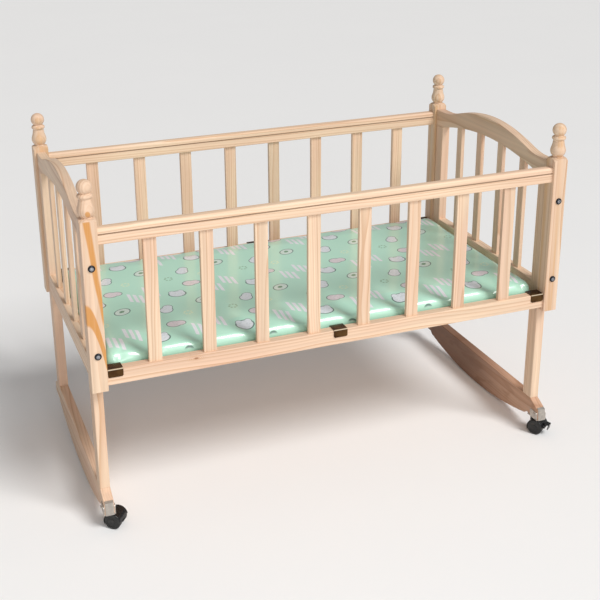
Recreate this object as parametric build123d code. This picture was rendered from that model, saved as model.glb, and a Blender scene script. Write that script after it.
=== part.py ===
from build123d import *
from math import sqrt
import os

# A rocking baby cradle in pine, in millimetres.
# X runs along the bed, -Y is the front, Z is up from the floor under the casters.

# Corner posts
LENGTH = 900.0              # over the outer faces of the posts
WIDTH = 484.0
POST = 28.0                 # square section
POST_FOOT = 271.0           # underside of a post
BLOCK = 302.0               # height of the square part, up to the turned finial
POST_CORNER = 20.0          # distance of a post's corners from its axis, before rounding
SHOULDER = 6.0              # how far the turned shoulder comes down the square part
SHOULDER_TOP = 0.8          # from the top of the square part to the shoulder's shallow end
BALL = 12.6                 # radius of the ball on top
BALL_CENTRE = 354.4         # above the post's underside
BALL_SEAT = 9.6             # from the ball's centre down to the bead
EDGE = 1.5                  # rounding on sawn edges

# Turned finial between the square part and the ball: radius, and height above the square part
FINIAL_COVE = ((9.6, 1.6), (8.8, 2.8), (9.8, 4.2))
FINIAL_VASE = ((9.8, 4.2), (14.0, 14.5), (10.5, 31.0))
FINIAL_NECK = ((10.5, 31.0), (9.9, 33.0), (10.6, 34.6))
FINIAL_BEAD = ((10.6, 34.6), (12.6, 38.0), (10.0, 41.2))
VASE_TANGENTS = ((1.0, 0.9), (-0.05, 1.0))
SHOULDER_RADIUS = 16.5      # halfway along the turned shoulder

# Side panels
RAIL_THICK = 18.0
TOP_RAIL = (529.0, 557.0)   # underside and top
BOTTOM_RAIL = (278.0, 306.0)
TOP_RAIL_ROUND = 5.0
LINE_Z = 546.0              # routed line along both faces of the top rail
LINE_RADIUS = 1.2
SLATS_PER_SIDE = 8
SLAT = (23.0, 8.0)          # width and thickness
SLAT_PITCH = 96.33
TENON = 10.0                # length of a tenon, and its thickness on an 18 mm board

# End frames
BOARD = 18.0                # thickness of every end board
LEG_DEPTH = 28.0
END_RAIL = (279.0, 318.0)
END_SLATS = 4
END_SLAT = (19.0, 8.0)
END_SLAT_PITCH = 80.6
ARCH_SPRING = 529.5         # underside of the arch over the legs
ARCH_SOFFIT = 555.0         # underside of the arch in the middle
ARCH_SHOULDER = (180.0, 564.0)   # where the level shoulder ends: y and z
ARCH_BEND = (125.0, 575.0)       # where the curve turns over
ARCH_CROWN = 594.0

# Rockers
ROCKER_TOP = 69.0
ROCKER_LOW = 2.0            # lowest point of the curve
ROCKER_RADIUS = 772.0
ROCKER_FLAT = 213.0         # half length of the level top
TIP_TOP = (241.0, 54.5)     # upper corner of a tip: y and z
SEAT_END = 243.0
SEAT_START = 203.0
SEAT = 33.5                 # flat seat for a caster under each tip
SEAT_SHOULDER = 195.0       # where the slope behind a seat meets the curve, clear of the casters
STEM_RECESS = (5.0, 2.4)    # radius and depth over a caster's stem

# Bolts through the posts into threaded inserts in the legs
BOLT_HEIGHTS = (337.0, 492.5)
BOLT = 3.0                  # shank radius
BOLT_HEAD = (6.0, 2.5)      # radius and height
BOLT_LENGTH = 40.0
BOLT_CROWN = 1.8            # rounding of a head
BOLT_SOCKET = (2.3, 1.8)    # radius over the corners, and depth
BOLT_CLEARANCE = 0.2        # radial, in a post
INSERT = (4.5, 14.0)        # radius and length

# Small pan-head screws
SCREW = 1.5                 # radius
SCREW_HEAD = (2.8, 1.4)     # radius and height
HOOK_SCREW_DEPTH = 6.5      # into the base board
SADDLE_SCREW_DEPTHS = (9.0, 7.5)   # from the outer and the inner ear

# Bed
BASE_BOARD = (421.0, 215.5, 273.0, 281.0)   # half length, half width, underside, top
MATTRESS = (421.5, 214.7, 281.3, 318.5)
MATTRESS_CORNER = 18.0
MATTRESS_TOP_ROUND = 12.0
MATTRESS_LOW_ROUND = 6.0
HOOKS_X = (-408.0, 0.0, 408.0)
HOOK_WIDTH = 26.0
SHEET = 1.5                 # thickness of every sheet-metal piece
HOOK_LIP = 13.5             # how far a hook reaches down the rail's outer face
HOOK_FOOT = 20.0            # how far it reaches under the base board
HOOK_GAP = 1.0              # between a hook and the rail's inner face
HOOK_CORNER = 3.0           # rounding of the lip's corners

# Casters, at the front tips only
STEM_X = 431.0
STEM_Y = -223.0
STEM = 2.5                  # radius
STEM_HEAD = (3.9, 2.0)      # radius and height
STEM_FOOT = 17.5            # height of its lower end
TRAIL = 9.0                 # from the stem's axis to the wheels' axle
HEADINGS = {-1: 52.0, 1: 36.0}   # turn of the axle from X towards Y, in degrees
WHEEL = 15.0                # radius
WHEEL_FACES = (4.3, 15.0)   # inner and outer face of a wheel, from the middle of the caster
HOOD = (16.5, 15.4, 15.5)   # outer radius, inner radius and half width
HOOD_EDGE = 1.0
HOOD_SKIRTS = (9.0, 18.0)   # height of the hood's lower edge, behind and in front of the wheels
HOOD_FRONT = 8.0            # from the axle to where the lower edge steps up
TURRET = 5.5                # radius
TURRET_GAP = 0.3            # under the saddle's plate
WEB = 4.0                   # half thickness of the hood's middle web
AXLE = 2.0                  # radius
RUNNING = 0.05              # radial clearance on the axle, the stem and the lever's pin
WHEEL_EDGE = 1.2
WHEEL_DISH = (10.5, 1.0)    # radius and depth of the dished outer face
WHEEL_BOSS = 4.5
WHEEL_WALL = 2.0            # of plastic over the end of the axle
AXLE_END = 2.2              # from a wheel's outer face to the end of the axle

# Caster saddle: a folded plate around each front tip
SADDLE_START = 210.0        # distance of its rear edge from the middle
SADDLE_STRAP = 15.0         # width
SADDLE_LAP = 4.0            # over the top of the tip
EAR = (24.0, 15.0)          # length and height
EAR_CORNER = 4.0
SADDLE_SCREW = (-231.5, 42.5)   # y and z

# Brake lever, on the right caster only
LEVER_PIVOT = (28.0, 22.3)  # distance from the stem's axis, and height
LEVER_PIN = 1.1             # radius
LEVER_WIDTH = 12.4
LEVER_SHEET = 1.8
LEVER_PATH = ((2.8, -7.8), (1.4, -3.0), (-0.8, 2.6), (-7.6, 1.4), (-5.4, -9.5))   # from the pivot
LEVER_CHEEK = 3.0           # radius of the lug and the lever's cheeks around the pin
LUG_TOP = 2.6               # above the pin
LUG_ROOM = (4.6, 0.3)       # radius of the space for the lug, and gap at each side

HALF_LENGTH = LENGTH / 2
HALF_WIDTH = WIDTH / 2
POST_X = HALF_LENGTH - POST / 2
POST_Y = HALF_WIDTH - POST / 2
INNER_Y = HALF_WIDTH - POST         # inner faces of the posts, and outer faces of the legs
LEG_Y = INNER_Y - LEG_DEPTH / 2
LEG_INNER_Y = INNER_Y - LEG_DEPTH
RAIL_END_X = HALF_LENGTH - POST
RAIL_OUTER_Y = POST_Y + RAIL_THICK / 2
RAIL_INNER_Y = POST_Y - RAIL_THICK / 2
END_NAMES = {-1: "left", 1: "right"}
SIDE_NAMES = {-1: "front", 1: "back"}


def block(x, y, z):
    """A box between two corners, from three (low, high) pairs."""
    size = [abs(high - low) for low, high in (x, y, z)]
    centre = [(low + high) / 2 for low, high in (x, y, z)]
    return Pos(*centre) * Box(*size)


def rod(radius, start, end):
    """A round bar between two points."""
    start = Vector(*start)
    span = Vector(*end) - start
    return extrude(Plane(origin=start, z_dir=span) * Circle(radius), amount=span.length)


def softened(solid, radius=EDGE, axis=None):
    """The solid with the edges along one axis, or all of them, rounded."""
    edges = solid.edges().filter_by(axis) if axis else solid.edges()
    return fillet(edges, radius)


def bent_sheet(points, thickness):
    """The outline of a bent sheet, with its given face along the points and its back to their left."""
    steps = [Vector(*b) - Vector(*a) for a, b in zip(points, points[1:])]
    normals = [Vector(-step.Y, step.X).normalized() for step in steps]
    before = [normals[0]] + normals
    after = normals + [normals[-1]]
    back = [
        Vector(*point) + (a + b) * (thickness / (1 + a.dot(b)))
        for point, a, b in zip(points, before, after)
    ]
    outline = [Vector(*point) for point in points] + back[::-1]
    return make_face(Polyline(*outline, close=True))


def finial_outline():
    """Half the outline of a post, as (radius, height above its underside)."""
    cove, vase, neck, bead = (
        [(radius, BLOCK + height) for radius, height in points]
        for points in (FINIAL_COVE, FINIAL_VASE, FINIAL_NECK, FINIAL_BEAD)
    )
    shoulder = (POST_CORNER, BLOCK - SHOULDER)
    ball_seat = (sqrt(BALL**2 - BALL_SEAT**2), BALL_CENTRE - BALL_SEAT)
    top = (0, BALL_CENTRE + BALL)
    return make_face(
        Polyline(top, (0, 0), (POST_CORNER, 0), shoulder)
        + ThreePointArc(shoulder, (SHOULDER_RADIUS, BLOCK - SHOULDER_TOP), cove[0])
        + ThreePointArc(*cove)
        + Spline(*vase, tangents=VASE_TANGENTS)
        + ThreePointArc(*neck)
        + ThreePointArc(*bead)
        + Line(bead[-1], ball_seat)
        + ThreePointArc(ball_seat, (BALL, BALL_CENTRE), top)
    )


def bolt_line(end, side, height, start_y, end_y, radius):
    """A round bar along a bolt's axis, between two distances from the middle of the cradle."""
    x = end * POST_X
    return rod(radius, (x, side * start_y, height), (x, side * end_y, height))


def rail_tenons(side, level):
    """The two stub tenons of a side rail."""
    cheek = (level[1] - level[0]) / 2 - 5.0
    middle = (level[0] + level[1]) / 2
    y = side * POST_Y
    return [
        block(
            (end * RAIL_END_X, end * (RAIL_END_X + TENON)),
            (y - TENON / 2, y + TENON / 2),
            (middle - cheek, middle + cheek),
        )
        for end in (-1, 1)
    ]


def post(end, side):
    """A square post with a turned finial, bored for its bolts and mortised for its rails."""
    turned = revolve(Plane.XZ * finial_outline(), Axis.Z)
    square = softened(block((-POST / 2, POST / 2), (-POST / 2, POST / 2), (0, 400)), axis=Axis.Z)
    solid = Pos(end * POST_X, side * POST_Y, POST_FOOT) * (turned & square)
    for level in (TOP_RAIL, BOTTOM_RAIL):
        solid -= rail_tenons(side, level)[(end + 1) // 2]
    for height in BOLT_HEIGHTS:
        solid -= bolt_line(end, side, height, INNER_Y - 1, HALF_WIDTH + 1, BOLT + BOLT_CLEARANCE)
    return solid


def slat_positions():
    """X of each slat in a side panel."""
    return [(number - (SLATS_PER_SIDE - 1) / 2) * SLAT_PITCH for number in range(SLATS_PER_SIDE)]


def side_slat(side, x):
    """A flat slat, let into both rails."""
    width, thick = SLAT
    y = side * POST_Y
    solid = block(
        (x - width / 2, x + width / 2),
        (y - thick / 2, y + thick / 2),
        (BOTTOM_RAIL[1] - TENON, TOP_RAIL[0] + TENON),
    )
    return softened(solid, 0.8, Axis.Z)


def side_rail(side, level, top_round):
    """A rail between two posts, with tenons and a mortise for each slat."""
    section = Pos(0, (level[0] + level[1]) / 2) * Rectangle(RAIL_THICK, level[1] - level[0])
    section = fillet(section.vertices().group_by(Axis.Y)[-1], top_round)
    section = fillet(section.vertices().group_by(Axis.Y)[0], EDGE)
    solid = extrude(Plane.YZ * section, amount=RAIL_END_X, both=True)
    solid = Pos(0, side * POST_Y, 0) * solid
    for tenon in rail_tenons(side, level):
        solid += tenon
    for x in slat_positions():
        solid -= side_slat(side, x)
    return solid


def top_rail(side):
    """The upper rail, rounded on top and routed with a thin line along both faces."""
    solid = side_rail(side, TOP_RAIL, TOP_RAIL_ROUND)
    for face_y in (RAIL_INNER_Y, RAIL_OUTER_Y):
        start = (-RAIL_END_X - 1, side * face_y, LINE_Z)
        end = (RAIL_END_X + 1, side * face_y, LINE_Z)
        solid -= rod(LINE_RADIUS, start, end)
    return solid


def soffit(y):
    """Height of the arch's underside at a distance from the middle."""
    rise = ARCH_SOFFIT - ARCH_SPRING
    radius = (LEG_INNER_Y**2 + rise**2) / (2 * rise)
    return ARCH_SOFFIT - radius + sqrt(radius**2 - y**2)


def end_board(outline, end):
    """A flat outline in Y and Z made into a board of the end frame, with softened edges."""
    solid = extrude(Plane.YZ * outline, amount=BOARD / 2, both=True)
    faces = solid.faces().filter_by(Axis.X)
    rim = [edge for face in faces for edge in face.edges()]
    return Pos(end * POST_X, 0, 0) * fillet(rim, EDGE)


def leg_tenons(end, side):
    """The tenons at the top and the foot of a leg."""
    x = end * POST_X
    y = side * LEG_Y
    across = (x - TENON / 2, x + TENON / 2)
    along = (y - TENON, y + TENON)
    return [
        block(across, along, (ROCKER_TOP - 18.0, ROCKER_TOP)),
        block(across, along, (ARCH_SPRING, ARCH_SPRING + 14.0)),
    ]


def leg(end, side):
    """A board from the rocker up to the arch, with inserts for the bolts."""
    x = end * POST_X
    solid = block(
        (x - BOARD / 2, x + BOARD / 2),
        (side * LEG_INNER_Y, side * INNER_Y),
        (ROCKER_TOP, ARCH_SPRING),
    )
    solid = softened(solid, axis=Axis.Z)
    for tenon in leg_tenons(end, side):
        solid += tenon
    for height in BOLT_HEIGHTS:
        solid -= bolt_line(end, side, height, INNER_Y - INSERT[1], INNER_Y + 1, INSERT[0])
    return solid - end_rail_tenon(end, side)


def end_rail_tenon(end, side):
    """One tenon of an end frame's bottom rail."""
    x = end * POST_X
    return block(
        (x - TENON / 2, x + TENON / 2),
        (side * LEG_INNER_Y, side * (LEG_INNER_Y + TENON)),
        (END_RAIL[0] + 6.0, END_RAIL[1] - 6.0),
    )


def end_rail(end):
    """The bottom rail of an end frame, between its legs."""
    x = end * POST_X
    across = (x - BOARD / 2, x + BOARD / 2)
    solid = softened(block(across, (-LEG_INNER_Y, LEG_INNER_Y), END_RAIL), axis=Axis.Y)
    for side in (-1, 1):
        solid += end_rail_tenon(end, side)
    for slat in end_slats(end):
        solid -= slat
    return solid


def end_slats(end):
    """The flat slats of an end frame, let into its bottom rail and its arch."""
    width, thick = END_SLAT
    x = end * POST_X
    slats = []
    for number in range(END_SLATS):
        y = (number - (END_SLATS - 1) / 2) * END_SLAT_PITCH
        solid = block(
            (x - thick / 2, x + thick / 2),
            (y - width / 2, y + width / 2),
            (END_RAIL[1] - TENON, soffit(abs(y)) + TENON),
        )
        slats.append(softened(solid, 0.8, Axis.Z))
    return slats


def arch_outline():
    """The arch rail: level shoulders and a serpentine top over a curved underside."""
    top = Spline(
        (ARCH_SHOULDER[0], ARCH_SHOULDER[1]),
        ARCH_BEND,
        (0, ARCH_CROWN),
        (-ARCH_BEND[0], ARCH_BEND[1]),
        (-ARCH_SHOULDER[0], ARCH_SHOULDER[1]),
        tangents=((-1, 0), (-1, 0)),
    )
    left_end = Polyline(
        (-ARCH_SHOULDER[0], ARCH_SHOULDER[1]),
        (-INNER_Y, ARCH_SHOULDER[1]),
        (-INNER_Y, ARCH_SPRING),
        (-LEG_INNER_Y, ARCH_SPRING),
    )
    underside = ThreePointArc(
        (-LEG_INNER_Y, ARCH_SPRING), (0, ARCH_SOFFIT), (LEG_INNER_Y, ARCH_SPRING)
    )
    right_end = Polyline(
        (LEG_INNER_Y, ARCH_SPRING),
        (INNER_Y, ARCH_SPRING),
        (INNER_Y, ARCH_SHOULDER[1]),
        (ARCH_SHOULDER[0], ARCH_SHOULDER[1]),
    )
    return make_face(top + left_end + underside + right_end)


def arch_rail(end):
    """The arched top rail of an end frame, standing on the legs."""
    solid = end_board(arch_outline(), end)
    for side in (-1, 1):
        solid -= leg_tenons(end, side)[1]
    for slat in end_slats(end):
        solid -= slat
    return solid


def rocker_outline():
    """The rocker: level on top, curved underneath, with a flat caster seat at each tip."""
    drop = ROCKER_LOW + ROCKER_RADIUS - sqrt(ROCKER_RADIUS**2 - SEAT_SHOULDER**2)
    tip = [
        (ROCKER_FLAT, ROCKER_TOP),
        TIP_TOP,
        (SEAT_END, SEAT),
        (SEAT_START, SEAT),
        (SEAT_SHOULDER, drop),
    ]
    other_tip = [(-y, z) for y, z in reversed(tip)]
    curve = ThreePointArc(tip[-1], (0, ROCKER_LOW), other_tip[0])
    level = Line((-ROCKER_FLAT, ROCKER_TOP), (ROCKER_FLAT, ROCKER_TOP))
    return make_face(Polyline(*tip) + curve + Polyline(*other_tip) + level)


def saddle_screw_lines(end):
    """Where the two screws of a saddle go: start under the head, and end."""
    y, z = SADDLE_SCREW
    outer = POST_X + BOARD / 2 + SHEET
    inner = POST_X - BOARD / 2 - SHEET
    return [
        ((end * outer, y, z), (end * (outer - SADDLE_SCREW_DEPTHS[0]), y, z)),
        ((end * inner, y, z), (end * (inner + SADDLE_SCREW_DEPTHS[1]), y, z)),
    ]


def rocker(end):
    """A rocker, mortised for its legs and recessed for the front caster's stem."""
    solid = end_board(rocker_outline(), end)
    for side in (-1, 1):
        solid -= leg_tenons(end, side)[0]
    recess, depth = STEM_RECESS
    solid -= rod(recess, (end * STEM_X, STEM_Y, SEAT - 1), (end * STEM_X, STEM_Y, SEAT + depth))
    for start, stop in saddle_screw_lines(end):
        solid -= rod(SCREW, start, stop)
    return solid


def frame_bolts():
    """Round-headed bolts, each with a hexagon socket."""
    bolts = []
    for end in (-1, 1):
        for side in (-1, 1):
            for height in BOLT_HEIGHTS:
                head_top = HALF_WIDTH + BOLT_HEAD[1]
                head = bolt_line(end, side, height, HALF_WIDTH, head_top, BOLT_HEAD[0])
                rim = head.edges().sort_by(Axis.Y)[-1 if side > 0 else 0]
                head = fillet(rim, BOLT_CROWN)
                shank_end = HALF_WIDTH - BOLT_LENGTH
                shank = bolt_line(end, side, height, shank_end, HALF_WIDTH, BOLT)
                mouth = Plane(
                    origin=(end * POST_X, side * head_top, height), z_dir=(0, -side, 0)
                )
                socket_radius, depth = BOLT_SOCKET
                socket = extrude(mouth * RegularPolygon(socket_radius, 6), amount=depth)
                bolts.append(head + shank - socket)
    return bolts


def threaded_inserts():
    """Sleeves in the legs that the bolts screw into."""
    return [
        bolt_line(end, side, height, INNER_Y - INSERT[1], INNER_Y, INSERT[0])
        - bolt_line(end, side, height, INNER_Y - INSERT[1] - 1, INNER_Y + 1, BOLT)
        for end in (-1, 1)
        for side in (-1, 1)
        for height in BOLT_HEIGHTS
    ]


def base_board():
    """The plywood board under the mattress."""
    half_length, half_width, low, high = BASE_BOARD
    board = block((-half_length, half_length), (-half_width, half_width), (low, high))
    for start, stop in hook_screw_lines():
        board -= rod(SCREW, start, stop)
    return board


def base_hook(side, x):
    """A bent strip over the bottom rail, down its inner face and under the base board."""
    lip = BOTTOM_RAIL[1] - HOOK_LIP
    top = BOTTOM_RAIL[1]
    drop_y = RAIL_INNER_Y - HOOK_GAP
    under = BASE_BOARD[2] - SHEET
    path = [
        (RAIL_OUTER_Y, lip),
        (RAIL_OUTER_Y, top),
        (drop_y, top),
        (drop_y, under),
        (drop_y - SHEET - HOOK_FOOT, under),
    ]
    strip = extrude(Plane.YZ * bent_sheet(path, -SHEET), amount=HOOK_WIDTH / 2, both=True)
    lip_face = strip.faces().sort_by(Axis.Y)[-1]
    lip_corners = [
        edge
        for edge in strip.edges().filter_by(Axis.Y)
        if abs(edge.center().Z - lip) < SHEET and edge.center().Y > lip_face.center().Y - SHEET
    ]
    strip = Pos(x, 0, 0) * fillet(lip_corners, HOOK_CORNER)
    strip = strip if side > 0 else mirror(strip, Plane.XZ)
    for start, stop in hook_screw_lines():
        strip -= rod(SCREW, start, stop)
    return strip


def hook_screw_lines():
    """Where each hook's screw goes: start under the head, and end."""
    y = RAIL_INNER_Y - HOOK_GAP - SHEET - HOOK_FOOT / 2
    low = BASE_BOARD[2]
    return [
        ((x, side * y, low - SHEET), (x, side * y, low + HOOK_SCREW_DEPTH))
        for side in (-1, 1)
        for x in HOOKS_X
    ]


def screws(lines):
    """Small pan-head screws along the given lines."""
    group = []
    for start, stop in lines:
        axis = (Vector(*stop) - Vector(*start)).normalized()
        crown = Vector(*start) - axis * SCREW_HEAD[1]
        group.append(rod(SCREW, start, stop) + rod(SCREW_HEAD[0], tuple(crown), start))
    return group


def mattress():
    """A thin flat mattress with round corners and edges."""
    half_length, half_width, low, high = MATTRESS
    solid = block((-half_length, half_length), (-half_width, half_width), (low, high))
    solid = fillet(solid.edges().filter_by(Axis.Z), MATTRESS_CORNER)
    solid = fillet(solid.faces().sort_by(Axis.Z)[-1].edges(), MATTRESS_TOP_ROUND)
    return fillet(solid.faces().sort_by(Axis.Z)[0].edges(), MATTRESS_LOW_ROUND)


def caster_saddle(end):
    """A folded plate around a rocker's front tip, which carries the caster's stem."""
    near, far = POST_X - BOARD / 2, POST_X + BOARD / 2
    tip_slope = (ROCKER_TOP - TIP_TOP[1]) / (TIP_TOP[0] - ROCKER_FLAT)
    wrap = [
        (-SADDLE_START, SEAT),
        (-SEAT_END, SEAT),
        (-TIP_TOP[0], TIP_TOP[1]),
        (-TIP_TOP[0] + SADDLE_LAP, TIP_TOP[1] + SADDLE_LAP * tip_slope),
    ]
    strap = extrude(Plane.YZ * bent_sheet(wrap, SHEET), amount=SADDLE_STRAP / 2, both=True)
    solid = Pos(POST_X, 0, 0) * strap
    solid += block((near - SHEET, far + SHEET), (-SEAT_END, -SADDLE_START), (SEAT - SHEET, SEAT))
    ear_front = -SEAT_END + 1.0
    for low in (near - SHEET, far):
        ear = block((low, low + SHEET), (ear_front, ear_front + EAR[0]), (SEAT, SEAT + EAR[1]))
        solid += fillet(ear.edges().filter_by(Axis.X).group_by(Axis.Z)[-1], EAR_CORNER)
    solid = solid if end > 0 else mirror(solid, Plane.YZ)
    solid -= rod(STEM, (end * STEM_X, STEM_Y, SEAT - 3), (end * STEM_X, STEM_Y, SEAT + 1))
    for start, stop in saddle_screw_lines(end):
        solid -= rod(SCREW, start, stop)
    return solid


def at_caster(end, solid):
    """Moves a piece from the caster's own frame (stem on Z, wheels towards -Y) to its tip."""
    place = Pos(end * STEM_X, STEM_Y, 0) * Rot(0, 0, HEADINGS[end])
    return place * solid


def caster_stem(end):
    """The swivel stem, riveted into the saddle with its head in the rocker's recess."""
    shaft = rod(STEM, (0, 0, STEM_FOOT), (0, 0, SEAT))
    head = rod(STEM_HEAD[0], (0, 0, SEAT), (0, 0, SEAT + STEM_HEAD[1]))
    return at_caster(end, shaft + head)


def caster_hood(end, with_lug):
    """The hood over both wheels, its middle web and the turret that turns on the stem."""
    outer, inner, half_width = HOOD
    centre = (-TRAIL, WHEEL)
    shell = rod(outer, (-half_width, *centre), (half_width, *centre))
    shell = fillet(shell.edges(), HOOD_EDGE)
    solid = shell + rod(TURRET, (0, 0, WHEEL), (0, 0, SEAT - SHEET - TURRET_GAP))
    if with_lug:
        pivot_y, pivot_z = LEVER_PIVOT
        solid += rod(LEVER_CHEEK, (-WEB, -pivot_y, pivot_z), (WEB, -pivot_y, pivot_z))
        lug_low = pivot_z - LEVER_CHEEK
        solid += block((-WEB, WEB), (-pivot_y, -TRAIL), (lug_low, pivot_z + LUG_TOP))
        solid -= rod(LEVER_PIN + RUNNING, (-9, -pivot_y, pivot_z), (9, -pivot_y, pivot_z))
    for hand in (-1, 1):
        solid -= rod(inner, (hand * WEB, *centre), (hand * 20, *centre))
    rear_skirt, front_skirt = HOOD_SKIRTS
    solid -= block((-20, 20), (-60, 20), (-5, rear_skirt))
    solid -= block((-20, 20), (-60, -TRAIL - HOOD_FRONT), (-5, front_skirt))
    solid -= rod(STEM + RUNNING, (0, 0, STEM_FOOT - 0.5), (0, 0, SEAT))
    solid -= rod(AXLE, (-20, *centre), (20, *centre))
    return at_caster(end, solid)


def caster_axle(end):
    """The axle pin through the hood's web."""
    reach = WHEEL_FACES[1] - AXLE_END
    return at_caster(end, rod(AXLE, (-reach, -TRAIL, WHEEL), (reach, -TRAIL, WHEEL)))


def caster_wheel(end, hand):
    """One wheel: a rounded tread, a dished outer face and a blind bore for the axle."""
    inner, outer = WHEEL_FACES
    dish_radius, dish_depth = WHEEL_DISH

    def disc(radius, start, stop):
        return rod(radius, (hand * start, -TRAIL, WHEEL), (hand * stop, -TRAIL, WHEEL))

    solid = disc(WHEEL, inner, outer)
    solid = fillet(solid.edges(), WHEEL_EDGE)
    dish = disc(dish_radius, outer - dish_depth, outer + 1)
    solid -= dish - disc(WHEEL_BOSS, outer - 2, outer + 2)
    solid -= disc(AXLE + RUNNING, inner - 1, outer - WHEEL_WALL)
    return at_caster(end, solid)


def brake_lever(end):
    """A foot lever astride the hood's lug, with its own pin and a shoe above the wheels."""
    pivot_y, pivot_z = LEVER_PIVOT
    half_width = LEVER_WIDTH / 2
    path = [(y - pivot_y, pivot_z + z) for y, z in LEVER_PATH]
    plate = extrude(Plane.YZ * bent_sheet(path, LEVER_SHEET), amount=half_width, both=True)
    left_end, right_end = (-half_width, -pivot_y, pivot_z), (half_width, -pivot_y, pivot_z)
    cheeks = rod(LEVER_CHEEK, left_end, right_end)
    room_radius, room_gap = LUG_ROOM
    gap = WEB + room_gap
    lug_room = rod(room_radius, (-gap, -pivot_y, pivot_z), (gap, -pivot_y, pivot_z))
    lug_room += block((-gap, gap), (-pivot_y, -pivot_y + 8), (pivot_z - 8, pivot_z + 5))
    return at_caster(end, plate + cheeks - lug_room + rod(LEVER_PIN, left_end, right_end))


def build():
    """Every sub-part by node name: one solid, or a list for a group of solids."""
    parts = {}
    for side, side_name in SIDE_NAMES.items():
        parts[f"{side_name}_top_rail"] = top_rail(side)
        parts[f"{side_name}_bottom_rail"] = side_rail(side, BOTTOM_RAIL, EDGE)
        parts[f"{side_name}_base_hooks"] = [base_hook(side, x) for x in HOOKS_X]
        for number, x in enumerate(slat_positions(), start=1):
            parts[f"{side_name}_slat_{number}"] = side_slat(side, x)
    for end, end_name in END_NAMES.items():
        for side, side_name in SIDE_NAMES.items():
            parts[f"{side_name}_{end_name}_post"] = post(end, side)
            parts[f"{side_name}_{end_name}_leg"] = leg(end, side)
        parts[f"{end_name}_arch_rail"] = arch_rail(end)
        parts[f"{end_name}_end_rail"] = end_rail(end)
        parts[f"{end_name}_end_slats"] = end_slats(end)
        parts[f"{end_name}_rocker"] = rocker(end)
        parts[f"{end_name}_caster_saddle"] = caster_saddle(end)
        parts[f"{end_name}_caster_stem"] = caster_stem(end)
        parts[f"{end_name}_caster_hood"] = caster_hood(end, with_lug=end > 0)
        parts[f"{end_name}_caster_axle"] = caster_axle(end)
        parts[f"{end_name}_caster_inner_wheel"] = caster_wheel(end, -end)
        parts[f"{end_name}_caster_outer_wheel"] = caster_wheel(end, end)
    parts["right_brake_lever"] = brake_lever(1)
    parts["frame_bolts"] = frame_bolts()
    parts["threaded_inserts"] = threaded_inserts()
    parts["saddle_screws"] = screws(saddle_screw_lines(-1) + saddle_screw_lines(1))
    parts["hook_screws"] = screws(hook_screw_lines())
    parts["base_board"] = base_board()
    parts["mattress"] = mattress()
    return parts


os.makedirs("parts", exist_ok=True)
for node, piece in build().items():
    solid = Compound(children=piece) if isinstance(piece, list) else piece
    export_step(solid, f"parts/{node}.step")
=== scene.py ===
import math
import random

import bmesh
import bpy
from mathutils import Matrix, Vector


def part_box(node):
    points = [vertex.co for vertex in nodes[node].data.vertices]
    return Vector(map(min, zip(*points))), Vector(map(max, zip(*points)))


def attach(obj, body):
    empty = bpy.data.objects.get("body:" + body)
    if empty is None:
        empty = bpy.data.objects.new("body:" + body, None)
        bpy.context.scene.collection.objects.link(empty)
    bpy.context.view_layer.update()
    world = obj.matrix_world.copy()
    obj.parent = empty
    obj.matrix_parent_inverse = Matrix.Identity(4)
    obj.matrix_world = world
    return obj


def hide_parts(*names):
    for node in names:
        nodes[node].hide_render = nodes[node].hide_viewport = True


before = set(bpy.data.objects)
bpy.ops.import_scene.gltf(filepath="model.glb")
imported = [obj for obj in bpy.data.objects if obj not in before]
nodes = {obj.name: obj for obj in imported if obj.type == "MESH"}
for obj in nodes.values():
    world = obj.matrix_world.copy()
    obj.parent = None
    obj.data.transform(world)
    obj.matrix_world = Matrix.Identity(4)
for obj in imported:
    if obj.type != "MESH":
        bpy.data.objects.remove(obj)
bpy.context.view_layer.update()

scene = bpy.context.scene

X = (1.0, 0.0, 0.0)
Y = (0.0, 1.0, 0.0)
Z = (0.0, 0.0, 1.0)


# ---------------------------------------------------------------- shader helpers


class Wire:
    """A value inside a node tree, with arithmetic that adds Math nodes."""

    def __init__(self, tree, socket):
        self.tree = tree
        self.socket = socket

    def math(self, operation, *others):
        """This value and the others, put through one Math node."""
        node = self.tree.nodes.new("ShaderNodeMath")
        node.operation = operation
        for index, value in enumerate((self, *others)):
            plug(self.tree, value, node.inputs[index])
        return Wire(self.tree, node.outputs[0])

    def __add__(self, other):
        return self.math("ADD", other)

    def __sub__(self, other):
        return self.math("SUBTRACT", other)

    def __mul__(self, other):
        return self.math("MULTIPLY", other)

    def __truediv__(self, other):
        return self.math("DIVIDE", other)

    def __radd__(self, other):
        return self.math("ADD", other)

    def __rmul__(self, other):
        return self.math("MULTIPLY", other)

    def __rsub__(self, other):
        return self.math("MULTIPLY", -1.0).math("ADD", other)

    def min(self, other):
        return self.math("MINIMUM", other)

    def max(self, other):
        return self.math("MAXIMUM", other)

    def ramp(self, low, high, to_low=0.0, to_high=1.0):
        """A smooth step from low to high."""
        node = self.tree.nodes.new("ShaderNodeMapRange")
        node.interpolation_type = "SMOOTHSTEP"
        plug(self.tree, self, node.inputs["Value"])
        node.inputs["From Min"].default_value = low
        node.inputs["From Max"].default_value = high
        node.inputs["To Min"].default_value = to_low
        node.inputs["To Max"].default_value = to_high
        return Wire(self.tree, node.outputs[0])


def plug(tree, value, socket):
    """Links a wire to a socket, or sets a plain value on it."""
    if isinstance(value, Wire):
        tree.links.new(value.socket, socket)
    elif isinstance(value, (tuple, list)) and len(value) == 3 and socket.type == "RGBA":
        socket.default_value = (*value, 1.0)
    else:
        socket.default_value = value


def vector_math(tree, operation, a, b, output="Vector"):
    node = tree.nodes.new("ShaderNodeVectorMath")
    node.operation = operation
    plug(tree, a, node.inputs[0])
    plug(tree, b, node.inputs[1])
    return Wire(tree, node.outputs[output])


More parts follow.
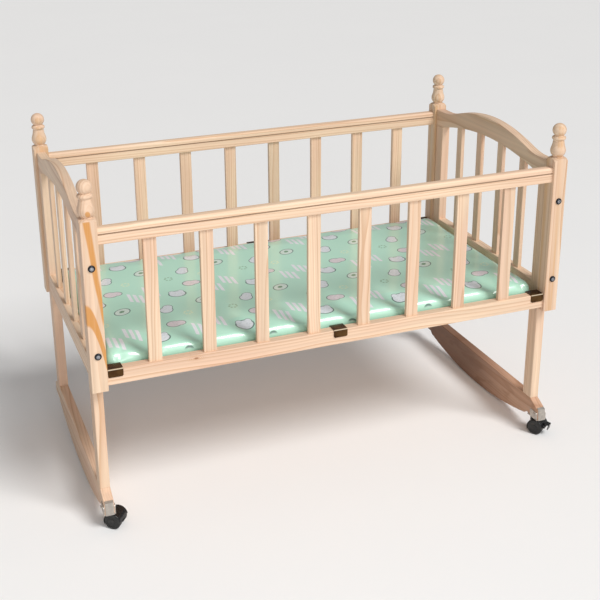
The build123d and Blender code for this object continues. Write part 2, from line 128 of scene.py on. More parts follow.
def combine(tree, x, y, z):
    node = tree.nodes.new("ShaderNodeCombineXYZ")
    for index, value in enumerate((x, y, z)):
        plug(tree, value, node.inputs[index])
    return Wire(tree, node.outputs[0])


def separate(tree, vector):
    node = tree.nodes.new("ShaderNodeSeparateXYZ")
    plug(tree, vector, node.inputs[0])
    return [Wire(tree, output) for output in node.outputs]


def noise(tree, vector, scale=1.0, detail=2.0, roughness=0.5, distortion=0.0):
    node = tree.nodes.new("ShaderNodeTexNoise")
    plug(tree, vector, node.inputs["Vector"])
    node.inputs["Scale"].default_value = scale
    node.inputs["Detail"].default_value = detail
    node.inputs["Roughness"].default_value = roughness
    node.inputs["Distortion"].default_value = distortion
    return Wire(tree, node.outputs["Fac"])


def blend_colour(tree, factor, first, second, mode="MIX"):
    node = tree.nodes.new("ShaderNodeMix")
    node.data_type = "RGBA"
    node.blend_type = mode
    plug(tree, factor, node.inputs["Factor"])
    plug(tree, first, node.inputs[6])
    plug(tree, second, node.inputs[7])
    return Wire(tree, node.outputs[2])


def place(tree):
    """The point being shaded, in the frame's own metres."""
    node = tree.nodes.new("ShaderNodeTexCoord")
    return Wire(tree, node.outputs["Object"])


def facing(tree):
    """The direction a surface faces."""
    node = tree.nodes.new("ShaderNodeTexCoord")
    return Wire(tree, node.outputs["Normal"])


def new_material(name, colour=None, roughness=None, height=None, bump=0.2, distance=0.001, **fixed):
    """A principled material; colour, roughness and height may be functions of its node tree."""
    material = bpy.data.materials.new(name)
    material.use_nodes = True
    tree = material.node_tree
    shader = tree.nodes["Principled BSDF"]
    for socket, value in (("Base Color", colour), ("Roughness", roughness)):
        if callable(value):
            value = value(tree)
        if value is not None:
            plug(tree, value, shader.inputs[socket])
    for socket, value in fixed.items():
        plug(tree, value, shader.inputs[socket.replace("_", " ")])
    if height is not None:
        node = tree.nodes.new("ShaderNodeBump")
        node.inputs["Strength"].default_value = bump
        node.inputs["Distance"].default_value = distance
        plug(tree, height(tree), node.inputs["Height"])
        tree.links.new(node.outputs[0], shader.inputs["Normal"])
    return material


def dress(node_name, material):
    """Gives a CAD node's object one material."""
    mesh = nodes[node_name].data
    mesh.materials.clear()
    mesh.materials.append(material)


# ---------------------------------------------------------------- pine

EARLY_WOOD = (0.815, 0.615, 0.445)
LATE_WOOD = (0.520, 0.260, 0.110)
ROSY_WOOD = (0.775, 0.510, 0.370)
HEARTWOOD = (0.600, 0.270, 0.065)
RING_WIDTH = 0.0046
ROUTED_LINE = 0.546         # height of the line along the top rails
KNOT = (-0.268, 0.3000)     # on the front bottom rail: along the bed, and height


def wood_group():
    """Growth rings, fibre and tone for a board cut anywhere from a trunk."""
    group = bpy.data.node_groups.new("pine_board", "ShaderNodeTree")
    face = group.interface
    for name, kind in (
        ("Centre", "NodeSocketVector"),
        ("Grain", "NodeSocketVector"),
        ("Across", "NodeSocketVector"),
        ("Pith", "NodeSocketVector"),
        ("Seed", "NodeSocketFloat"),
        ("Tone", "NodeSocketFloat"),
    ):
        face.new_socket(name, in_out="INPUT", socket_type=kind)
    for name, kind in (
        ("Color", "NodeSocketColor"),
        ("Height", "NodeSocketFloat"),
        ("Roughness", "NodeSocketFloat"),
    ):
        face.new_socket(name, in_out="OUTPUT", socket_type=kind)
    entry = group.nodes.new("NodeGroupInput")
    given = {socket.name: Wire(group, socket) for socket in entry.outputs if socket.name}

    point = vector_math(group, "SUBTRACT", place(group), given["Centre"])
    third = vector_math(group, "CROSS_PRODUCT", given["Grain"], given["Across"])
    along = vector_math(group, "DOT_PRODUCT", point, given["Grain"], "Value")
    across = vector_math(group, "DOT_PRODUCT", point, given["Across"], "Value")
    depth = vector_math(group, "DOT_PRODUCT", point, third, "Value")
    seed = given["Seed"]
    pith_x, pith_y, lean = separate(group, given["Pith"])

    slow = combine(group, across * 7.0 + seed, depth * 7.0, along * 2.2)
    wander_x = noise(group, slow, detail=2.0) - 0.5
    wander_y = noise(group, vector_math(group, "ADD", slow, (17.0, 5.0, 9.0)), detail=2.0) - 0.5
    ring_x = across - pith_x + along * lean + wander_x * 0.022
    ring_y = depth - pith_y + wander_y * 0.022
    radius = (ring_x * ring_x + ring_y * ring_y).math("SQRT")
    widths = noise(group, combine(group, radius * 60.0, seed, 0.0), detail=1.0)
    phase = radius / RING_WIDTH + widths * 1.6
    part = phase.math("FRACT")
    late = part.math("POWER", 2.6) * part.ramp(0.93, 1.0, 1.0, 0.0)
    year = noise(group, combine(group, phase.math("FLOOR") * 3.7, seed, 2.0), detail=0.0)
    strength = year.ramp(0.3, 0.7, 0.3, 1.0)

    fibre_at = combine(group, across * 900.0 + seed, depth * 900.0, along * 16.0)
    fibre = noise(group, fibre_at, detail=3.0, roughness=0.6)
    streak_at = combine(group, across * 130.0 + seed, depth * 130.0, along * 2.4)
    streaks = noise(group, streak_at, detail=2.0)
    patch_at = combine(group, across * 14.0, depth * 14.0 + seed, along * 3.0)
    patch = noise(group, patch_at, detail=2.0)

    warm = patch.ramp(0.35, 0.7, 0.0, 0.75)
    colour = blend_colour(group, warm, EARLY_WOOD, ROSY_WOOD)
    colour = blend_colour(group, late * strength * 0.8, colour, LATE_WOOD)
    shade = 0.91 + fibre * 0.12 + streaks.ramp(0.3, 0.75, -0.07, 0.07)
    shade = shade * given["Tone"]
    colour = blend_colour(group, 1.0, colour, combine(group, shade, shade, shade), "MULTIPLY")

    leave = group.nodes.new("NodeGroupOutput")
    plug(group, colour, leave.inputs["Color"])
    plug(group, fibre * 0.7 + late * 0.5, leave.inputs["Height"])
    plug(group, 0.46 + fibre * 0.12 - late * 0.06, leave.inputs["Roughness"])
    return group


PINE = wood_group()


def pine(node_name, grain, across, pith, tone=1.0, extra=None):
    """One board's own cut of pine, placed about the middle of its node."""
    low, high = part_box(node_name)
    material = bpy.data.materials.new("pine_" + node_name)
    material.use_nodes = True
    tree = material.node_tree
    shader = tree.nodes["Principled BSDF"]
    board = tree.nodes.new("ShaderNodeGroup")
    board.node_tree = PINE
    board.inputs["Centre"].default_value = (Vector(low) + Vector(high)) / 2
    board.inputs["Grain"].default_value = grain
    board.inputs["Across"].default_value = across
    board.inputs["Pith"].default_value = pith
    board.inputs["Seed"].default_value = dice.uniform(0.0, 90.0)
    board.inputs["Tone"].default_value = tone
    colour = Wire(tree, board.outputs["Color"])
    if extra:
        colour = extra(tree, colour)
    plug(tree, colour, shader.inputs["Base Color"])
    tree.links.new(board.outputs["Roughness"], shader.inputs["Roughness"])
    bump = tree.nodes.new("ShaderNodeBump")
    bump.inputs["Strength"].default_value = 0.25
    bump.inputs["Distance"].default_value = 0.0004
    tree.links.new(board.outputs["Height"], bump.inputs["Height"])
    tree.links.new(bump.outputs[0], shader.inputs["Normal"])
    shader.inputs["Specular IOR Level"].default_value = 0.35
    dress(node_name, material)


def random_pith(spread=0.05, nearest=0.012):
    """Where the trunk's heart lies from the middle of a board, and how far the board leans to it."""
    angle = dice.uniform(0.0, math.tau)
    reach = nearest + dice.uniform(0.0, spread)
    lean = dice.uniform(-0.018, 0.018)
    return (reach * math.cos(angle), reach * math.sin(angle), lean)


def heartwood(tree, colour):
    """The orange heartwood that sweeps across the front left post in two bands."""
    low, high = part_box("front_left_post")
    x, y, z = separate(tree, place(tree))
    depth = (y - low[1]) / (high[1] - low[1])
    side = (x - low[0]) / (high[0] - low[0]) - depth * 0.5
    rise = (z - low[2]) / (high[2] - low[2])
    ripple = noise(tree, combine(tree, x * 16.0, y * 16.0, z * 7.0), detail=3.0) - 0.5
    drift = ripple * 0.22
    upper = upper_band(side, rise, drift)
    lower = lower_band(side, rise, drift)
    fibre = noise(tree, combine(tree, x * 500.0, y * 500.0, z * 12.0), detail=2.0)
    band = upper.max(lower) * fibre.ramp(0.15, 0.6, 0.75, 0.95) * depth.ramp(0.15, 0.65, 1.0, 0.0)
    return blend_colour(tree, band, colour, HEARTWOOD)


def upper_band(side, rise, drift):
    """Down from the middle of the face's top to its right edge, and a spot on the finial."""
    left_edge = 0.22 + (0.80 - rise) * 1.45 + drift
    right_edge = 0.66 + (0.80 - rise) * 1.10 + drift
    inside = (side - left_edge).ramp(-0.03, 0.07) * (right_edge - side).ramp(-0.02, 0.10)
    spot = round_blob(side, rise, (0.50, 0.851), (0.17, 0.017)).ramp(-0.35, 0.05, 0.9, 0.0)
    return (inside * rise.ramp(0.30, 0.36) * rise.ramp(0.815, 0.823, 1.0, 0.0)).max(spot)


def lower_band(side, rise, drift):
    """From the left edge under the middle, down to the right edge near the lower bolt."""
    bend = side * side.math("ABSOLUTE") * 0.24
    top = 0.44 - bend + drift * 0.15
    bottom = 0.33 - bend + drift * 0.15
    return (top - rise).ramp(-0.004, 0.014) * (rise - bottom).ramp(-0.004, 0.014)


def knot(tree, colour):
    """A small knot, with the grain flowing round it, near the top of the front bottom rail."""
    x, y, z = separate(tree, place(tree))
    a = (x - KNOT[0]) / 2.2
    b = z - KNOT[1]
    reach = (a * a + b * b).math("SQRT")
    ripple = noise(tree, combine(tree, x * 300.0, y * 300.0, z * 300.0), detail=2.0) * 0.0012
    rings = ((reach + ripple) / 0.0016).math("FRACT").ramp(0.5, 1.0, 0.0, 0.8)
    colour = blend_colour(tree, rings * reach.ramp(0.003, 0.009, 0.8, 0.0), colour, LATE_WOOD)
    return blend_colour(tree, reach.ramp(0.0010, 0.0024, 0.8, 0.0), colour, (0.30, 0.12, 0.05))


def honey(tree, colour):
    """Long soft honey-coloured streaks down a post."""
    x, y, z = separate(tree, place(tree))
    streaks = noise(tree, combine(tree, x * 110.0, y * 110.0, z * 1.6), detail=2.0)
    return blend_colour(tree, streaks.ramp(0.48, 0.66, 0.0, 0.62), colour, (0.640, 0.370, 0.170))


def brown_board_with_painted_shade(tree, colour):
    """Browner, wilder wood, partly painted shade, darkening from the front towards the back in a
    painted shadow of the bed.
    """
    x, y, z = separate(tree, place(tree))
    swirl = noise(tree, combine(tree, x * 9.0, y * 9.0, z * 26.0), detail=3.0, distortion=1.2)
    # Browner tint: partly the board's own colour, partly painted shade on the rocker's inner face.
    colour = blend_colour(tree, 1.0, colour, (0.93, 0.78, 0.74), "MULTIPLY")
    colour = blend_colour(tree, swirl.ramp(0.50, 0.64, 0.0, 0.55), colour, (0.330, 0.160, 0.085))
    # Painted shade: darker towards the back, standing in for the shadow the bed casts on the rocker.
    return blend_colour(tree, y.ramp(-0.16, 0.06, 0.0, 0.80), colour, (0.130, 0.062, 0.034))


def routed_line(tree, colour):
    """Shade and dust lying in the line routed along both faces of a top rail."""
    z = separate(tree, place(tree))[2]
    line = (z - ROUTED_LINE).math("ABSOLUTE").ramp(0.0008, 0.0016, 0.75, 0.0)
    return blend_colour(tree, line, colour, (0.200, 0.105, 0.050))


def dress_timber():
    """Gives every board its own piece of pine with the grain along its length."""
    for side in ("front", "back"):
        pine(f"{side}_top_rail", X, Z, (0.034, 0.026, 0.010), 1.02, routed_line)
        mark = knot if side == "front" else None
        pine(f"{side}_bottom_rail", X, Z, (-0.030, 0.040, 0.006), 1.0, mark)
        for number in range(1, 9):
            tone = dice.uniform(0.90, 1.04)
            pith = random_pith(0.012, 0.008) if number % 3 == 1 else random_pith()
            pine(f"{side}_slat_{number}", Z, X, pith, tone)
        for end in ("left", "right"):
            streak = heartwood if (side, end) == ("front", "left") else honey
            pine(f"{side}_{end}_post", Z, X, random_pith(), 0.96, streak)
            pine(f"{side}_{end}_leg", Z, Y, random_pith(), dice.uniform(0.95, 1.0))
    for end in ("left", "right"):
        pine(f"{end}_arch_rail", Y, Z, (0.004, 0.045, 0.012), 0.95)
        pine(f"{end}_end_rail", Y, Z, random_pith(), 0.98)
        pine(f"{end}_end_slats", Z, Y, random_pith(), 0.98)
    pine("left_rocker", Y, Z, (0.016, 0.020, 0.05), 0.98)
    # The right rocker's low tone is partly painted shade for its inner face under the bed.
    pine("right_rocker", Y, Z, (0.016, 0.020, 0.05), 0.80, brown_board_with_painted_shade)


# ---------------------------------------------------------------- metal and plastic


BOLT_HEIGHTS = (0.337, 0.4925)    # of the bolts' middles


def brushed(colour, tint, scale, amount):
    """A colour that shifts a little with fine scratches and handling marks."""

    def make(tree):
        point = place(tree)
        marks = noise(tree, point, scale=scale, detail=4.0, roughness=0.65)
        return blend_colour(tree, marks.ramp(0.35, 0.75, 0.0, amount), colour, tint)

    return make


def scratched(low, high, scale):
    """A roughness between low and high, in fine uneven marks."""

    def make(tree):
        return noise(tree, place(tree), scale=scale, detail=5.0, roughness=0.7).ramp(
            0.3, 0.75, low, high
        )

    return make


def fine_grain(scale):
    """The height of a fine even texture."""

    def make(tree):
        return noise(tree, place(tree), scale=scale, detail=3.0, roughness=0.6)

    return make


def bronze_and_bend_highlight(tree):
    """Dark bronze plating, with a painted highlight along the bend over the rail's outer edge."""
    low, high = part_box("front_base_hooks")
    y, z = separate(tree, place(tree))[1:]
    off_y = y.math("ABSOLUTE") + low[1]
    off_z = z - high[2]
    reach = (off_y * off_y + off_z * off_z).math("SQRT")
    marks = noise(tree, place(tree), scale=45.0, detail=2.0).ramp(0.35, 0.7, 0.0, 0.7)
    plated = blend_colour(tree, marks, (0.060, 0.026, 0.012), (0.170, 0.095, 0.035))
    # Painted highlight: a bright line along the bend, where the hook laps over the rail's outer
    # edge.
    return blend_colour(tree, reach.ramp(0.0008, 0.0022, 0.95, 0.0), plated, (0.900, 0.760, 0.560))


def bolt_colour_and_glint(tree):
    """Blued steel, with a painted highlight over the crown of each bolt's head."""
    x, _, z = separate(tree, place(tree))
    low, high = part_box("front_right_post")
    column = round((low[0] + high[0]) / 2, 4)
    off_x = (x.math("ABSOLUTE") - column).math("ABSOLUTE")
    off_z = (z - BOLT_HEIGHTS[0]).math("ABSOLUTE").min((z - BOLT_HEIGHTS[1]).math("ABSOLUTE"))
    reach = (off_x * off_x + off_z * off_z).math("SQRT")
    # Painted highlight: a bright glint on each head's crown, broken up by noise.
    glint_breakup = noise(tree, place(tree), scale=500.0, detail=3.0).ramp(0.3, 0.7, 0.7, 1.0)
    crown_glint = reach.ramp(0.0018, 0.0040, 1.0, 0.0) * glint_breakup
    return blend_colour(tree, crown_glint, (0.035, 0.037, 0.045), (0.560, 0.570, 0.600))


def dress_hardware():
    """Materials for the hooks, bolts, saddles, casters and base board."""
    bronze = new_material(
        "bronzed_steel",
        bronze_and_bend_highlight,
        scratched(0.10, 0.22, 60.0),
        fine_grain(500.0),
        bump=0.05,
        distance=0.0002,
        Metallic=1.0,
    )
    zinc = new_material(
        "zinc_steel",
        brushed((0.480, 0.440, 0.400), (0.640, 0.600, 0.540), 220.0, 0.8),
        scratched(0.28, 0.50, 300.0),
        fine_grain(1200.0),
        bump=0.1,
        distance=0.0002,
        Metallic=1.0,
    )
    blued = new_material(
        "dark_steel",
        bolt_colour_and_glint,
        scratched(0.22, 0.45, 500.0),
        fine_grain(1500.0),
        bump=0.1,
        distance=0.0002,
        Metallic=1.0,
    )
    moulded = new_material(
        "black_plastic",
        brushed((0.004, 0.004, 0.005), (0.012, 0.012, 0.013), 260.0, 0.8),
        scratched(0.16, 0.32, 380.0),
        fine_grain(2200.0),
        bump=0.25,
        distance=0.0003,
    )
    tread = new_material(
        "wheel_plastic",
        brushed((0.010, 0.010, 0.010), (0.045, 0.042, 0.038), 180.0, 0.8),
        scratched(0.45, 0.70, 260.0),
        fine_grain(1400.0),
        bump=0.3,
        distance=0.0003,
    )
    for side in ("front", "back"):
        dress(f"{side}_base_hooks", bronze)
    dress("frame_bolts", blued)
    for name in ("threaded_inserts", "saddle_screws", "hook_screws"):
        dress(name, zinc)
    for end in ("left", "right"):
        dress(f"{end}_caster_saddle", zinc)
        dress(f"{end}_caster_stem", zinc)
        dress(f"{end}_caster_axle", zinc)
        dress(f"{end}_caster_hood", moulded)
        for hand in ("inner", "outer"):
            dress(f"{end}_caster_{hand}_wheel", tread)
    dress("right_brake_lever", moulded)
    pine("base_board", X, Y, (0.02, 0.10, 0.0), 0.86)


# ---------------------------------------------------------------- mattress

MINT = (0.490, 0.795, 0.645)
DEEP_MINT = (0.425, 0.735, 0.575)
CLOUD = (0.800, 0.840, 0.900)
BLUSH = (0.800, 0.700, 0.740)
EGG = (0.740, 0.860, 0.790)
LEAF = (0.080, 0.240, 0.110)
INK = (0.040, 0.090, 0.080)
CHALK = (0.860, 0.820, 0.900)
SAGE = (0.240, 0.440, 0.280)
BUTTER = (0.720, 0.840, 0.560)
REPEAT = (0.154, 0.168)     # of the print along the bed and across it, in a half-drop
PRINT_START = (-0.083, -0.010)


def folded(x, y, offset):
    """Where a point lies from the nearest repeat of a motif placed at an offset."""
    along = (x - PRINT_START[0] - offset[0]) / REPEAT[0]
    across = (y - PRINT_START[1] - offset[1]) / REPEAT[1] + 0.5
    row = across.math("FLOOR")
    u = (along + row * 0.5 + 0.5).math("FRACT") - 0.5
    v = across - row - 0.5
    return u * REPEAT[0], v * REPEAT[1]


def turned(x, y, degrees):
    """The same point seen from axes turned through an angle."""
    c = math.cos(math.radians(degrees))
    s = math.sin(math.radians(degrees))
    return x * c + y * s, y * c - x * s


def round_blob(x, y, centre, radii):
    """How far a point lies outside a rounded blob, as a fraction of its size."""
    a = (x - centre[0]) / radii[0]
    b = (y - centre[1]) / radii[1]
    return (a * a + b * b).math("SQRT") - 1.0


def puff(x, y):
    """A round puff of three lobes."""
    body = round_blob(x, y, (0.0, -0.001), (0.0155, 0.0125))
    left = round_blob(x, y, (-0.0085, 0.0075), (0.0060, 0.0065))
    right = round_blob(x, y, (0.0085, 0.0075), (0.0060, 0.0065))
    return body.min(left).min(right)


def pebble(x, y):
    """A flat pebble, blunter at one end."""
    wide = round_blob(x, y, (-0.004, 0.0), (0.0125, 0.0115))
    narrow = round_blob(x, y, (0.007, 0.001), (0.0105, 0.0090))
    return wide.min(narrow)


def strokes(x, y):
    """Three quick slanting brush strokes, side by side."""
    a, b = turned(x, y, -14.0)
    lane = a / 0.0105 + b * 22.0
    bar = ((lane + 0.5).math("FRACT") - 0.5).math("ABSOLUTE") / 0.30 - 1.0
    tip = (b + a * 0.35).math("ABSOLUTE") / 0.0170 - 1.0
    outside = lane.math("ABSOLUTE") / 1.5 - 1.0
    return bar.max(tip).max(outside)


def dotted_ring(x, y):
    """A ring of seven small dots."""
    reach = (x * x + y * y).math("SQRT")
    turn = y.math("ARCTAN2", x) * (7.0 / math.tau)
    step = ((turn - turn.math("FLOOR")) - 0.5).math("ABSOLUTE") * (0.0070 * math.tau / 7.0)
    off = (reach - 0.0070).math("ABSOLUTE")
    return (step * step + off * off).math("SQRT") / 0.0022 - 1.0


def print_on_cover(tree):
    """Mint cotton printed with puffs, pebbles, ovals, brush strokes and dotted rings."""
    x, y, z = separate(tree, place(tree))
    tone = noise(tree, combine(tree, x * 5.0, y * 5.0, z * 5.0), detail=2.0)
    ink = noise(tree, combine(tree, x * 260.0, y * 260.0, z * 260.0), detail=2.0)
    colour = blend_colour(tree, tone.ramp(0.35, 0.7, 0.0, 0.5), MINT, DEEP_MINT)
    oval_x, oval_y = turned(*folded(x, y, (0.038, -0.044)), 35.0)
    round_x, round_y = turned(*folded(x, y, (-0.037, -0.062)), 60.0)
    motifs = (
        (puff(*folded(x, y, (0.0, 0.0))), CLOUD, 0.14),
        (pebble(*folded(x, y, (0.039, 0.040))), BLUSH, 0.12),
        (round_blob(oval_x, oval_y, (0.0, 0.0), (0.0155, 0.0115)), EGG, 0.13),
        (round_blob(oval_x, oval_y, (0.0, 0.001), (0.0055, 0.0042)), LEAF, 0.0),
        (pebble(round_x, round_y), CLOUD, 0.12),
        (strokes(*folded(x, y, (0.076, 0.006))), CHALK, 0.0),
        (strokes(*folded(x, y, (0.110, 0.028))), CHALK, 0.0),
        (dotted_ring(*folded(x, y, (0.003, 0.075))), SAGE, 0.0),
        (dotted_ring(*folded(x, y, (0.072, 0.078))), BUTTER, 0.0),
    )
    up = separate(tree, facing(tree))[2].ramp(0.15, 0.50)
    cover = ink.ramp(0.25, 0.6, 0.72, 0.92) * up
    for distance, fill, outline in motifs:
        if outline:
            line = distance.ramp(outline - 0.03, outline + 0.02, 0.85, 0.0)
            colour = blend_colour(tree, line * up, colour, INK)
        inside = distance.ramp(-0.05, 0.0, 1.0, 0.0)
        colour = blend_colour(tree, inside * cover, colour, fill)
    return colour


def cover_weave(tree):
    """The height of the cover's fine weave, over very soft creases."""
    x, y, z = separate(tree, place(tree))
    threads = (x * 5200.0).math("SINE") * (y * 5200.0).math("SINE")
    creases = noise(tree, combine(tree, x * 7.0, y * 7.0, z * 7.0), detail=1.0)
    return threads * 0.006 + creases


def rounded_slab(name, low, high, corner, edge, steps):
    """A closed slab with round corners and edges, built as rings of points."""
    mesh = bpy.data.meshes.new(name)
    made = bmesh.new()
    middle = (Vector(low) + Vector(high)) / 2
    half = (Vector(high) - Vector(low)) / 2
    levels = []
    for number in range(steps + 1):
        turn = math.pi * number / steps - math.pi / 2
        rise = half.z * math.sin(turn)
        inset = edge * (1 - math.cos(turn))
        levels.append((rise, inset))
    rings = []
    for rise, inset in levels:
        ring = []
        for quarter in range(4):
            for number in range(9):
                turn = math.pi / 2 * (quarter + number / 8)
                sign_x = 1 if quarter in (0, 3) else -1
                sign_y = 1 if quarter in (0, 1) else -1
                reach = max(corner - inset, 0.002)
                x = sign_x * (half.x - inset - reach) + reach * math.cos(turn)
                y = sign_y * (half.y - inset - reach) + reach * math.sin(turn)
                ring.append(made.verts.new(middle + Vector((x, y, rise))))
        rings.append(ring)
    for below, above in zip(rings, rings[1:]):
        for number in range(len(below)):
            after = (number + 1) % len(below)
            made.faces.new((below[number], below[after], above[after], above[number]))
    made.faces.new(rings[0][::-1])
    made.faces.new(rings[-1])
    made.to_mesh(mesh)
    made.free()
    piece = bpy.data.objects.new(name, mesh)
    scene.collection.objects.link(piece)
    return piece


def use_only(piece):
    """Makes a piece the only selected and the active one."""
    bpy.ops.object.select_all(action="DESELECT")
    piece.select_set(True)
    bpy.context.view_layer.objects.active = piece


def apply_modifier(piece, kind, **settings):
    modifier = piece.modifiers.new(kind.lower(), kind)
    for key, value in settings.items():
        setattr(modifier, key, value)
    use_only(piece)
    bpy.ops.object.modifier_apply(modifier=modifier.name)


def smooth_step(value, low, high):
    t = min(max((value - low) / (high - low), 0.0), 1.0)
    return t * t * (3 - 2 * t)


MATTRESS_START = 0.0040     # how much smaller the mattress starts before it fills
MATTRESS_CROWN = 0.0050     # how far its filled top may rise over the plain form
PUFF_CAP = 0.010            # how far any point may move as it fills
SLAB_CORNER = 0.016         # round corners of the cover, seen from above
SLAB_EDGE = 0.008           # how far its sides bulge past its top and bottom edges
VOXEL = 0.006
FIRM_PRESSURE = 4.0         # of the stuffing
FILL_STEPS = 20
DENT_WIDTH = 0.017          # of the dent that each slat leaves
DENT_LEAN = 0.55            # how far a dent slants as it runs inwards
FRONT_DENT = 0.0055         # how deep the dents are at the front edge
BACK_DENT = 0.0015


def slat_x():
    """The middle of each front slat along the bed."""
    boxes = [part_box(f"front_slat_{number}") for number in range(1, 9)]
    return [(low[0] + high[0]) / 2 for low, high in boxes]


def fill_with_air(piece, low, high):
    """Swells the mattress like a stuffed cover that is held down along its sides at each slat."""
    held = piece.vertex_groups.new(name="held")
    slats = slat_x()
    for vertex in piece.data.vertices:
        point = vertex.co
        near_slat = min(abs(point.x - x) for x in slats)
        side_gap = min(abs(point.y - low.y), abs(point.y - high.y))
        grip = (1 - smooth_step(near_slat, 0.004, 0.016)) * (1 - smooth_step(side_gap, 0.006, 0.020))
        under = 1 - smooth_step(point.z, low.z + 0.002, low.z + 0.012)
        weight = max(grip, under)
        if weight > 0.01:
            held.add([vertex.index], weight, "REPLACE")
    before = [vertex.co.copy() for vertex in piece.data.vertices]
    modifier = piece.modifiers.new("cloth", "CLOTH")
    settings = modifier.settings
    settings.quality = 5
    settings.mass = 0.3
    settings.tension_stiffness = 12
    settings.compression_stiffness = 12
    settings.shear_stiffness = 6
    settings.bending_stiffness = 0.6
    settings.use_pressure = True
    settings.uniform_pressure_force = FIRM_PRESSURE
    settings.vertex_group_mass = "held"
    settings.pin_stiffness = 1.0
    settings.effector_weights.gravity = 0.0
    modifier.collision_settings.use_self_collision = False
    for step in range(1, FILL_STEPS + 1):
        scene.frame_set(step)
    use_only(piece)
    bpy.ops.object.modifier_apply(modifier="cloth")
    scene.frame_set(1)
    for vertex, start in zip(piece.data.vertices, before):
        move = vertex.co - start
        if move.length > PUFF_CAP:
            vertex.co = start + move.normalized() * PUFF_CAP


def settle_into_bed(piece, low, high):
    """Presses the sides in at the slats, and keeps the piece inside its own space."""
    slats = slat_x()
    for vertex in piece.data.vertices:
        point = vertex.co
        near_front = 1 - smooth_step(point.y - low.y, 0.0, 0.075)
        near_back = 1 - smooth_step(high.y - point.y, 0.0, 0.05)
        upper = smooth_step(point.z, low.z + 0.012, high.z - 0.004)
        dip = 0.0
        for x in slats:
            off = point.x - x + (point.y - low.y) * DENT_LEAN
            dip += math.exp(-((off / DENT_WIDTH) ** 2))
        point.z -= dip * upper * (FRONT_DENT * near_front + BACK_DENT * near_back)
        point.x = min(max(point.x, low.x), high.x)
        point.y = min(max(point.y, low.y), high.y)
        point.z = min(max(point.z, low.z), high.z)


def make_mattress():
    """The printed mattress: a filled cover, lower at its edges and dented at the slats."""
    low, high = (Vector(corner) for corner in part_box("mattress"))
    inset = Vector((MATTRESS_START, MATTRESS_START, 0.0))
    start_low = low + inset
    start_high = high - inset
    high.z += MATTRESS_CROWN
    piece = rounded_slab("printed_mattress", start_low, start_high, SLAB_CORNER, SLAB_EDGE, 10)
    apply_modifier(piece, "REMESH", mode="VOXEL", voxel_size=VOXEL)
    fill_with_air(piece, start_low, start_high)
    settle_into_bed(piece, low, high)
    apply_modifier(piece, "SUBSURF", levels=1)
    for face in piece.data.polygons:
        face.use_smooth = True
    cover = new_material(
        "mattress_cover",
        print_on_cover,
        lambda tree: noise(tree, place(tree), scale=40.0, detail=2.0).ramp(0.3, 0.7, 0.34, 0.44),
        cover_weave,
        bump=0.15,
        distance=0.002,
    )
    shader = cover.node_tree.nodes["Principled BSDF"]
    shader.inputs["Coat Weight"].default_value = 0.85
    shader.inputs["Coat Roughness"].default_value = 0.14
    shader.inputs["Coat IOR"].default_value = 1.6
    piece.data.materials.append(cover)
    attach(piece, "mattress")
    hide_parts("mattress")
    return piece


WELT_RISE = 0.010           # of the seam over the mattress's underside
WELT_CORNER = 0.020
WELT_SINK = 0.0005          # how deep the seam is drawn into the cover
WELT_RADIUS = 0.0013


def welt_path(high, level):
    """Points inside the mattress's outline, each with its way out to the side."""
    reach = Vector((high.x - WELT_CORNER, high.y - WELT_CORNER, 0.0))
    signs = ((1, 1), (-1, 1), (-1, -1), (1, -1))
    corners = [Vector((x * reach.x, y * reach.y, level)) for x, y in signs]
    path = []
    for number, corner in enumerate(corners):
        for step in range(7):
            turn = math.tau * (number / 4 + step / 24)
            path.append((corner, Vector((math.cos(turn), math.sin(turn), 0.0))))
        outward = path[-1][1]
        after = corners[(number + 1) % 4]
        steps = int((after - corner).length / 0.006)
        for step in range(1, steps):
            path.append((corner.lerp(after, step / steps), outward))
    return path


def make_welt(cover, low, high):
    """The sewn seam around the mattress's side, which follows the cover's fullness."""
    bpy.context.view_layer.update()
    points = []
    for inside, outward in welt_path(high, low.z + WELT_RISE):
        found, spot, _, _ = cover.ray_cast(inside + outward * 0.06, -outward)
        if found:
            points.append(spot - outward * WELT_SINK)
    curve = bpy.data.curves.new("mattress_seam", "CURVE")
    curve.dimensions = "3D"
    curve.bevel_depth = WELT_RADIUS
    curve.bevel_resolution = 3
    spline = curve.splines.new("POLY")
    spline.points.add(len(points) - 1)
    for slot, point in zip(spline.points, points):
        slot.co = (*point, 1.0)
    spline.use_cyclic_u = True
    piece = bpy.data.objects.new("mattress_seam", curve)
    scene.collection.objects.link(piece)
    piping = new_material(
        "mattress_piping",
        brushed((0.240, 0.620, 0.360), (0.330, 0.740, 0.460), 300.0, 0.6),
        scratched(0.45, 0.6, 400.0),
        fine_grain(2500.0),
        bump=0.3,
        distance=0.0004,
    )
    curve.materials.append(piping)
    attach(piece, "mattress")


# ---------------------------------------------------------------- room


def make_floor():
    """A plain pale floor that carries on out of view."""
    bpy.ops.mesh.primitive_plane_add(size=40.0, location=(0.0, 0.0, 0.0))
    floor = bpy.context.object
    floor.name = "floor"
    material = new_material(
        "pale_floor",
        lambda tree: blend_colour(
            tree, noise(tree, place(tree), scale=2.0), (0.90, 0.90, 0.90), (0.88, 0.88, 0.885)
        ),
        0.9,
    )
    floor.data.materials.append(material)


def make_light(name, place_at, aim, size, power, colour=(1.0, 1.0, 1.0)):
    """A soft square lamp that points at a place."""
    light = bpy.data.lights.new(name, "AREA")
    light.shape = "SQUARE"
    light.size = size
    light.energy = power
    light.color = colour
    lamp = bpy.data.objects.new(name, light)
    scene.collection.objects.link(lamp)
    lamp.location = place_at
    direction = Vector(aim) - Vector(place_at)
    lamp.rotation_euler = direction.to_track_quat("-Z", "Y").to_euler()


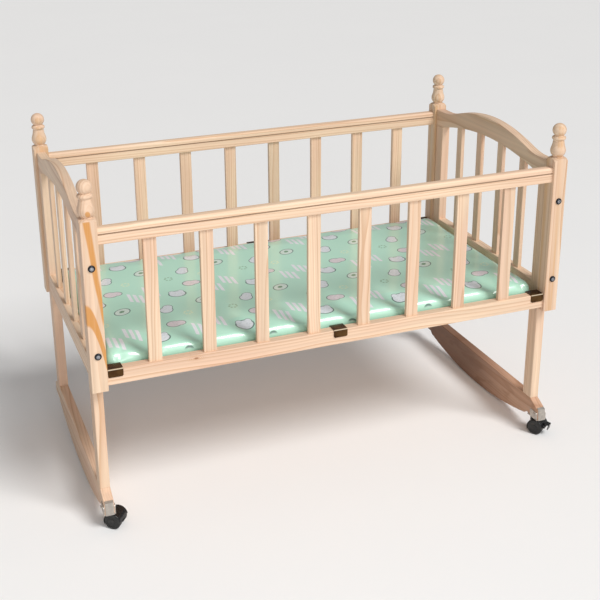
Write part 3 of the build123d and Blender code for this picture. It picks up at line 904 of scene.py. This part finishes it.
def make_sun(name, direction, strength, angle, colour):
    """A far soft lamp that shines from a direction."""
    light = bpy.data.lights.new(name, "SUN")
    light.energy = strength
    light.angle = math.radians(angle)
    light.color = colour
    lamp = bpy.data.objects.new(name, light)
    scene.collection.objects.link(lamp)
    lamp.rotation_euler = Vector(direction).to_track_quat("Z", "Y").to_euler()


def make_world(strength):
    world = bpy.data.worlds.new("studio")
    world.use_nodes = True
    back = world.node_tree.nodes["Background"]
    back.inputs["Color"].default_value = (1.0, 1.0, 1.0, 1.0)
    back.inputs["Strength"].default_value = strength
    scene.world = world


CAMERA_AT = (-0.7169, -1.8468, 1.1446)
CAMERA_TURN = 0.354         # from straight ahead towards the right, in radians
CAMERA_TILT = 0.350         # down
CAMERA_ROLL = 0.013
CAMERA_LENS = 65.26
CAMERA_SHIFT = (0.0415, -0.1218)


def make_camera():
    """A camera in front of the left end, looking down at the bed."""
    turn, tilt = CAMERA_TURN, CAMERA_TILT
    ahead = Vector(
        (math.sin(turn) * math.cos(tilt), math.cos(turn) * math.cos(tilt), -math.sin(tilt))
    )
    level = Vector((math.cos(turn), -math.sin(turn), 0.0))
    down = ahead.cross(level)
    right = level * math.cos(CAMERA_ROLL) + down * math.sin(CAMERA_ROLL)
    down = down * math.cos(CAMERA_ROLL) - level * math.sin(CAMERA_ROLL)
    data = bpy.data.cameras.new("camera")
    data.sensor_width = 36.0
    data.lens = CAMERA_LENS
    data.shift_x, data.shift_y = CAMERA_SHIFT
    camera = bpy.data.objects.new("camera", data)
    scene.collection.objects.link(camera)
    turned = Matrix((right, -down, -ahead)).transposed().to_4x4()
    camera.matrix_world = Matrix.Translation(CAMERA_AT) @ turned
    scene.camera = camera


dice = random.Random(7)
dress_timber()
dress_hardware()
mattress = make_mattress()
mattress_low, mattress_high = (Vector(corner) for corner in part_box("mattress"))
make_welt(mattress, mattress_low, mattress_high)
make_floor()
make_world(0.30)
make_sun("key", (0.75, -1.25, 1.65), 2.35, 24.0, (1.0, 0.985, 0.965))
make_light("front_fill", (-0.6, -3.2, 1.6), (0.0, 0.0, 0.4), 1.6, 30.0)
make_camera()
scene.view_settings.view_transform = "Standard"
